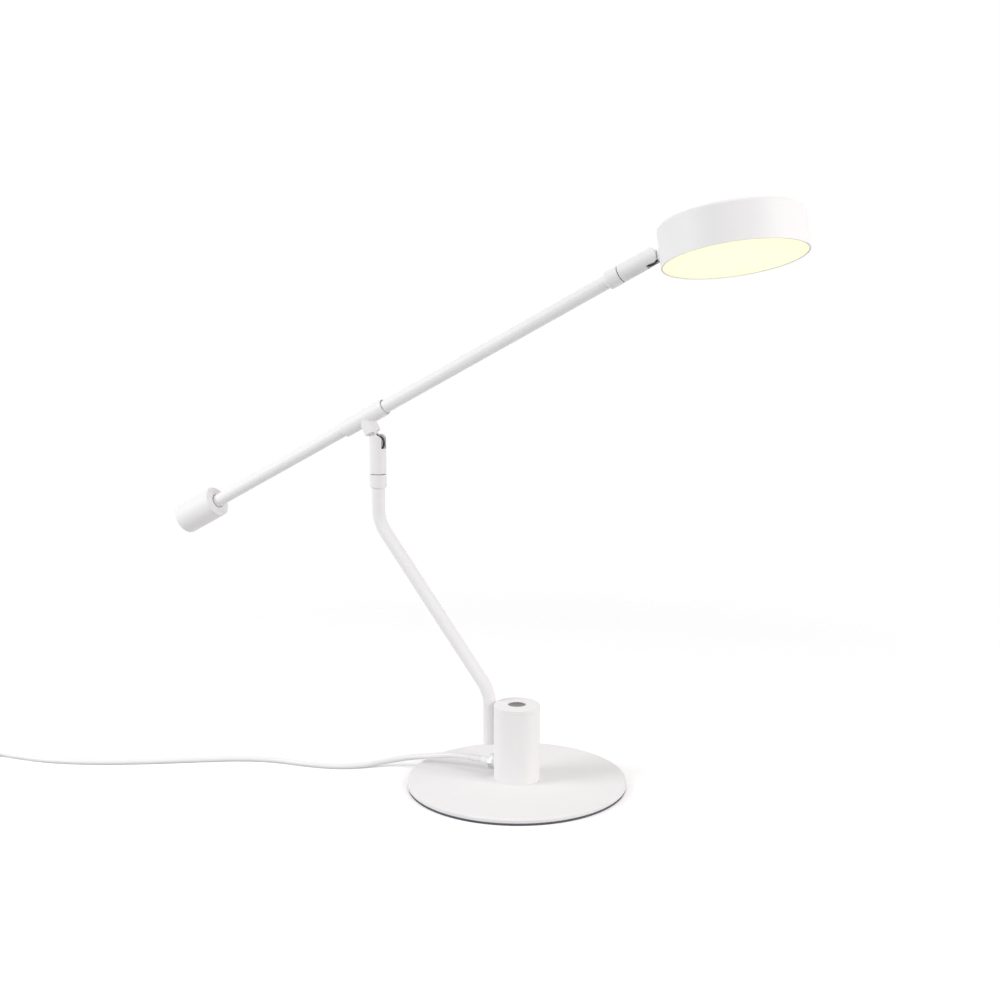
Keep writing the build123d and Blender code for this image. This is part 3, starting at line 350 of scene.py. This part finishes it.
coat_steel = powder_coat("coat_steel", (0.842, 0.836, 0.836), (0.854, 0.848, 0.848))
coat_alloy = powder_coat("coat_alloy", (0.842, 0.837, 0.837), (0.854, 0.849, 0.849))
foam_dark = foam("foam_dark")
zinc = metal("zinc", (0.62, 0.63, 0.65), 0.42, 0.10, 260.0, depth=0.00003)
button_metal = metal("button_metal", (0.190, 0.184, 0.176), 0.34, 0.08, 340.0, (1.0, 14.0, 1.0))
chrome = metal("chrome", (0.64, 0.64, 0.66), 0.14, 0.05, 180.0)
brass_plain = metal("brass_plain", (0.70, 0.52, 0.24), 0.30, 0.08, 240.0)
brass_plug = metal("brass_plug", (0.72, 0.60, 0.36), 0.24, 0.07, 240.0, (1.0, 1.0, 8.0))
alloy_bare = metal("alloy_bare", (0.66, 0.66, 0.67), 0.38, 0.10, 300.0, (1.0, 1.0, 6.0))
black_moulding = plastic("black_moulding", (0.018, 0.018, 0.019), (0.026, 0.026, 0.028), 0.5, 700.0, 0.00005)
washer_black = plastic("washer_black", (0.012, 0.012, 0.013), (0.020, 0.020, 0.021), 0.6, 900.0, 0.00003)
wire_black = plastic("wire_black", (0.010, 0.010, 0.010), (0.018, 0.017, 0.017), 0.33, 1100.0, 0.00003)
cable_white = plastic("cable_white", (0.865, 0.863, 0.863), (0.880, 0.878, 0.877), 0.42, 900.0, 0.00004)
board_white = plastic("board_white", (0.70, 0.71, 0.70), (0.76, 0.77, 0.75), 0.35, 500.0, 0.00003)
reflector_paint = plastic("reflector_paint", (0.84, 0.84, 0.83), (0.88, 0.88, 0.87), 0.5, 800.0, 0.00003)
opal = lit_opal("opal", DIFFUSER_RADIUS)
chip_glow = glow("chip_glow", (1.0, 0.86, 0.55), 2.0, (0.75, 0.62, 0.20))

SLOT_MATERIALS = {
    "white_coat_steel": coat_steel,
    "white_coat_alloy": coat_alloy,
    "foam": foam_dark,
    "zinc_steel": zinc,
    "button_steel": button_metal,
    "black_plastic": black_moulding,
    "black_washer": washer_black,
    "chrome_brass": chrome,
    "white_cable": cable_white,
    "plug_brass": brass_plug,
    "black_wire": wire_black,
    "brass": brass_plain,
    "bare_alloy": alloy_bare,
    "circuit_board": board_white,
    "led": chip_glow,
    "reflector_white": reflector_paint,
    "opal_lit": opal,
}

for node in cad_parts.values():
    for holder in node.material_slots:
        base_name = holder.material.name.split(".")[0] if holder.material else ""
        if base_name in SLOT_MATERIALS:
            holder.link = "OBJECT"
            holder.material = SLOT_MATERIALS[base_name]


# ------------------------------------------------------------------ mesh kit
def make_object(name, vertices, faces, material, smooth_below=radians(35)):
    """A mesh object with smooth shading that keeps edges sharper than the given turn."""
    mesh = bpy.data.meshes.new(name)
    mesh.from_pydata([tuple(vertex) for vertex in vertices], [], faces)
    mesh.validate()
    mesh.update()
    mesh.shade_smooth()
    mesh.set_sharp_from_angle(angle=smooth_below)
    mesh.materials.append(material)
    made = bpy.data.objects.new(name, mesh)
    bpy.context.scene.collection.objects.link(made)
    return made


def lathe(name, profile, segments, material, smooth_below=radians(35)):
    """A closed body of revolution about local Z from (radius, height) pairs; a radius of 0 closes it."""
    vertices = []
    rings = []
    for radius, height in profile:
        if radius < 1e-7:
            rings.append([len(vertices)])
            vertices.append((0.0, 0.0, height))
            continue
        rings.append(list(range(len(vertices), len(vertices) + segments)))
        for step in range(segments):
            turn = 2 * pi * step / segments
            vertices.append((radius * cos(turn), radius * sin(turn), height))
    faces = []
    for lower, upper in zip(rings, rings[1:]):
        for step in range(segments):
            after = (step + 1) % segments
            if len(lower) == 1:
                faces.append((lower[0], upper[after], upper[step]))
            elif len(upper) == 1:
                faces.append((lower[step], lower[after], upper[0]))
            else:
                faces.append((lower[step], lower[after], upper[after], upper[step]))
    return make_object(name, vertices, faces, material, smooth_below)


def stand(made, origin, z_along, x_along=None):
    """Puts a piece's local Z along a direction, and its local X close to a second one if it is given."""
    z_dir = z_along.normalized()
    guide = x_along if x_along is not None else (
        Vector((0.0, 0.0, 1.0)) if abs(z_dir.z) < 0.9 else Vector((1.0, 0.0, 0.0))
    )
    y_dir = z_dir.cross(guide).normalized()
    x_dir = y_dir.cross(z_dir)
    turn = Matrix((x_dir, y_dir, z_dir)).transposed().to_4x4()
    made.matrix_world = Matrix.Translation(origin) @ turn
    return made


def settle(made):
    """Writes a piece's place into its mesh."""
    made.data.transform(made.matrix_world)
    made.matrix_world = Matrix.Identity(4)
    return made


def add_flat_map(made):
    """A texture map that holds a piece's local X and Y, in metres."""
    layer = made.data.uv_layers.new(name="flat")
    for loop in made.data.loops:
        place = made.data.vertices[loop.vertex_index].co
        layer.data[loop.index].uv = (place.x, place.y)
    return made


def tube_rings(path, radius, sides, first_index):
    """Vertices and faces of a capped tube along a path, its rings turned as little as they can be."""
    headings = []
    for index in range(len(path)):
        before = path[max(index - 1, 0)]
        after = path[min(index + 1, len(path) - 1)]
        headings.append((after - before).normalized())
    side = headings[0].orthogonal().normalized()
    vertices = []
    faces = []
    for index, (place, heading) in enumerate(zip(path, headings)):
        side = (side - heading * side.dot(heading)).normalized()
        across = heading.cross(side)
        for step in range(sides):
            turn = 2 * pi * step / sides
            vertices.append(place + side * radius * cos(turn) + across * radius * sin(turn))
        if index:
            here = first_index + index * sides
            for step in range(sides):
                after = (step + 1) % sides
                faces.append((here - sides + step, here - sides + after, here + after, here + step))
    faces.append(tuple(first_index + step for step in reversed(range(sides))))
    last = first_index + (len(path) - 1) * sides
    faces.append(tuple(last + step for step in range(sides)))
    return vertices, faces


# ------------------------------------------------------------------ strain relief on the cord
def make_strain_relief():
    """A tapered relief with shallow grooves near its tip, along the cord."""
    length = (RELIEF_TIP - RELIEF_ROOT).length
    root_radius, tip_radius = 0.0036, 0.0028
    root_depth = 0.0038
    profile = [(0.0, -root_depth), (root_radius, -root_depth), (root_radius, 0.0)]
    groove_count, groove_depth, groove_width = 6, 0.00022, 0.0009
    first, pitch = 0.0085, 0.0023
    for groove in range(groove_count):
        start = first + groove * pitch
        for place, depth in (
            (start, 0.0),
            (start + 0.25 * groove_width, groove_depth),
            (start + 0.75 * groove_width, groove_depth),
            (start + groove_width, 0.0),
        ):
            radius = root_radius + (tip_radius - root_radius) * place / length
            profile.append((radius - depth, place))
    profile += [(tip_radius + 0.00002, length - 0.0004), (tip_radius - 0.00015, length), (0.0, length)]
    relief = lathe("relief", profile, 48, cable_white, radians(50))
    return settle(stand(relief, RELIEF_ROOT, Vector((-1.0, 0.0, 0.0))))


cord = make_cord()
cord.data.materials.append(cable_white)
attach(cord, "base")
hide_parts("power_cord", "cord_coil")

relief = make_strain_relief()
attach(relief, "base")
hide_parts("strain_relief")


# ------------------------------------------------------------------ wires that cross the two knuckles
def make_joint_wires(name, pin, x_dir, z_dir, lean):
    """Two wires out of a fork's bore, round its pin and into the tongue."""
    pin_dir = z_dir.cross(x_dir)
    loop_bottom = -WIRE_LOOP - WIRE_BEND
    flat = []
    for step in range(WIRE_ENTRY_STEPS):
        share = step / WIRE_ENTRY_STEPS
        flat.append((-WIRE_BEND, -WIRE_ENTRY + (loop_bottom + WIRE_ENTRY) * share))
    for step in range(WIRE_BEND_STEPS + 1):
        turn = pi - pi / 2 * step / WIRE_BEND_STEPS
        flat.append((WIRE_BEND * cos(turn), loop_bottom + WIRE_BEND * sin(turn)))
    for step in range(1, WIRE_LOOP_STEPS + 1):
        turn = -pi / 2 + (pi + lean) * step / WIRE_LOOP_STEPS
        flat.append((WIRE_LOOP * cos(turn), WIRE_LOOP * sin(turn)))
    vertices = []
    faces = []
    for place in (-WIRE_SPACING / 2, WIRE_SPACING / 2):
        path = [pin + x_dir * x + z_dir * z + pin_dir * place for x, z in flat]
        more, skin = tube_rings(path, WIRE_RADIUS, WIRE_SIDES, len(vertices))
        vertices += more
        faces += skin
    return make_object(name, vertices, faces, wire_black)


stem_wires = make_joint_wires(
    "stem_wires", STEM_PIN, Vector((1.0, 0.0, 0.0)), Vector((0.0, 0.0, 1.0)), ARM_TILT
)
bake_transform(stem_wires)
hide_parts("stem_joint_wires")

head_wires = make_joint_wires("head_wires", HEAD_PIN, YOKE_UP * -1, ARM_ALONG, HEAD_LEAN)
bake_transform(head_wires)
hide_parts("head_joint_wires")

# ------------------------------------------------------------------ lit diffuser
diffuser = lathe(
    "opal_disc",
    [
        (0.0, DIFFUSER_BOTTOM),
        (DIFFUSER_RADIUS - DIFFUSER_LOWER_EDGE, DIFFUSER_BOTTOM),
        (DIFFUSER_RADIUS, DIFFUSER_BOTTOM + DIFFUSER_LOWER_EDGE),
        (DIFFUSER_RADIUS, DIFFUSER_TOP - DIFFUSER_UPPER_EDGE),
        (DIFFUSER_RADIUS - DIFFUSER_UPPER_EDGE, DIFFUSER_TOP),
        (0.0, DIFFUSER_TOP),
    ],
    DIFFUSER_SEGMENTS,
    opal,
)
add_flat_map(diffuser)
stand(diffuser, HEAD_CENTRE, HEAD_UP, HEAD_OUT)
settle(diffuser)
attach(diffuser, "head")
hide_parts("diffuser")


# ------------------------------------------------------------------ floor and light
FLOOR_SIZE = 8.0
FLOOR_SCATTER_TONE = 0.66
FLOOR_LIFT = 0.12
FLOOR_FADE_START = 0.45
FLOOR_FADE_END = 0.85
AMBIENT_STRENGTH = 0.51
LAMP_AIM = (0.0, 0.0, 0.25)


def seen_share(tree):
    """One for what is seen directly, mirrored or through glass, and zero for light that scatters."""
    path = tree.nodes.new("ShaderNodeLightPath")
    total = path.outputs["Is Camera Ray"]
    for name in ("Is Glossy Ray", "Is Transmission Ray"):
        larger = tree.nodes.new("ShaderNodeMath")
        larger.operation = "MAXIMUM"
        tree.links.new(total, larger.inputs[0])
        tree.links.new(path.outputs[name], larger.inputs[1])
        total = larger.outputs["Value"]
    return total


def make_floor():
    """A white table top that fades into the white surround and scatters a little less light than it shows."""
    bpy.ops.mesh.primitive_plane_add(size=FLOOR_SIZE, location=(0.0, 0.0, 0.0))
    floor = bpy.context.object
    floor.name = "floor"
    material, tree, surface = new_material("floor_white", (1.0, 1.0, 1.0), 0.9)
    surface.inputs["Specular IOR Level"].default_value = 0.1
    tone = tree.nodes.new("ShaderNodeMix")
    tone.data_type = "RGBA"
    tone.inputs["A"].default_value = (*[FLOOR_SCATTER_TONE] * 3, 1.0)
    tone.inputs["B"].default_value = (1.0, 1.0, 1.0, 1.0)
    seen = seen_share(tree)
    tree.links.new(seen, tone.inputs["Factor"])
    tree.links.new(tone.outputs["Result"], surface.inputs["Base Color"])
    place = tree.nodes.new("ShaderNodeTexCoord")
    length = tree.nodes.new("ShaderNodeVectorMath")
    length.operation = "LENGTH"
    fade = tree.nodes.new("ShaderNodeMapRange")
    fade.interpolation_type = "SMOOTHSTEP"
    fade.inputs["From Min"].default_value = FLOOR_FADE_START
    fade.inputs["From Max"].default_value = FLOOR_FADE_END
    lift = tree.nodes.new("ShaderNodeMath")
    lift.operation = "MULTIPLY"
    lift.inputs[1].default_value = FLOOR_LIFT
    surface.inputs["Emission Color"].default_value = (1.0, 1.0, 1.0, 1.0)
    clear = tree.nodes.new("ShaderNodeBsdfTransparent")
    mix = tree.nodes.new("ShaderNodeMixShader")
    output = tree.nodes["Material Output"]
    tree.links.new(seen, lift.inputs[0])
    tree.links.new(lift.outputs["Value"], surface.inputs["Emission Strength"])
    tree.links.new(place.outputs["Object"], length.inputs[0])
    tree.links.new(length.outputs["Value"], fade.inputs["Value"])
    tree.links.new(fade.outputs["Result"], mix.inputs["Fac"])
    tree.links.new(surface.outputs["BSDF"], mix.inputs[1])
    tree.links.new(clear.outputs["BSDF"], mix.inputs[2])
    tree.links.new(mix.outputs["Shader"], output.inputs["Surface"])
    floor.data.materials.append(material)


def make_area_light(name, size, power, colour, place, target):
    """A square soft box that looks at a point."""
    data = bpy.data.lights.new(name, "AREA")
    data.size = size
    data.energy = power
    data.color = colour
    light = bpy.data.objects.new(name, data)
    light.location = place
    light.rotation_euler = (Vector(target) - Vector(place)).to_track_quat("-Z", "Y").to_euler()
    bpy.context.scene.collection.objects.link(light)


def make_surround(strength):
    """A white world that the camera sees as pure white and that lights the lamp evenly."""
    world = bpy.data.worlds.new("surround")
    world.use_nodes = True
    tree = world.node_tree
    background = tree.nodes["Background"]
    background.inputs["Color"].default_value = (1.0, 1.0, 1.0, 1.0)
    background.inputs["Strength"].default_value = 1.0
    ambient = tree.nodes.new("ShaderNodeBackground")
    ambient.inputs["Color"].default_value = (0.985, 0.99, 1.0, 1.0)
    ambient.inputs["Strength"].default_value = strength
    mix = tree.nodes.new("ShaderNodeMixShader")
    tree.links.new(seen_share(tree), mix.inputs["Fac"])
    tree.links.new(ambient.outputs["Background"], mix.inputs[1])
    tree.links.new(background.outputs["Background"], mix.inputs[2])
    tree.links.new(mix.outputs["Shader"], tree.nodes["World Output"].inputs["Surface"])
    bpy.context.scene.world = world


make_floor()
make_surround(AMBIENT_STRENGTH)
make_area_light("overhead", 0.8, 4.5, (1.0, 0.84, 0.86), (-0.1, 0.05, 2.0), (0.0, 0.0, 0.0))
make_area_light("left_box", 0.8, 18.0, (0.99, 0.995, 1.0), (-1.35, -1.15, 1.05), LAMP_AIM)
make_area_light("right_box", 1.0, 18.5, (1.0, 0.960, 0.955), (1.8, -0.2, 0.95), LAMP_AIM)

bpy.context.scene.view_settings.view_transform = "Standard"
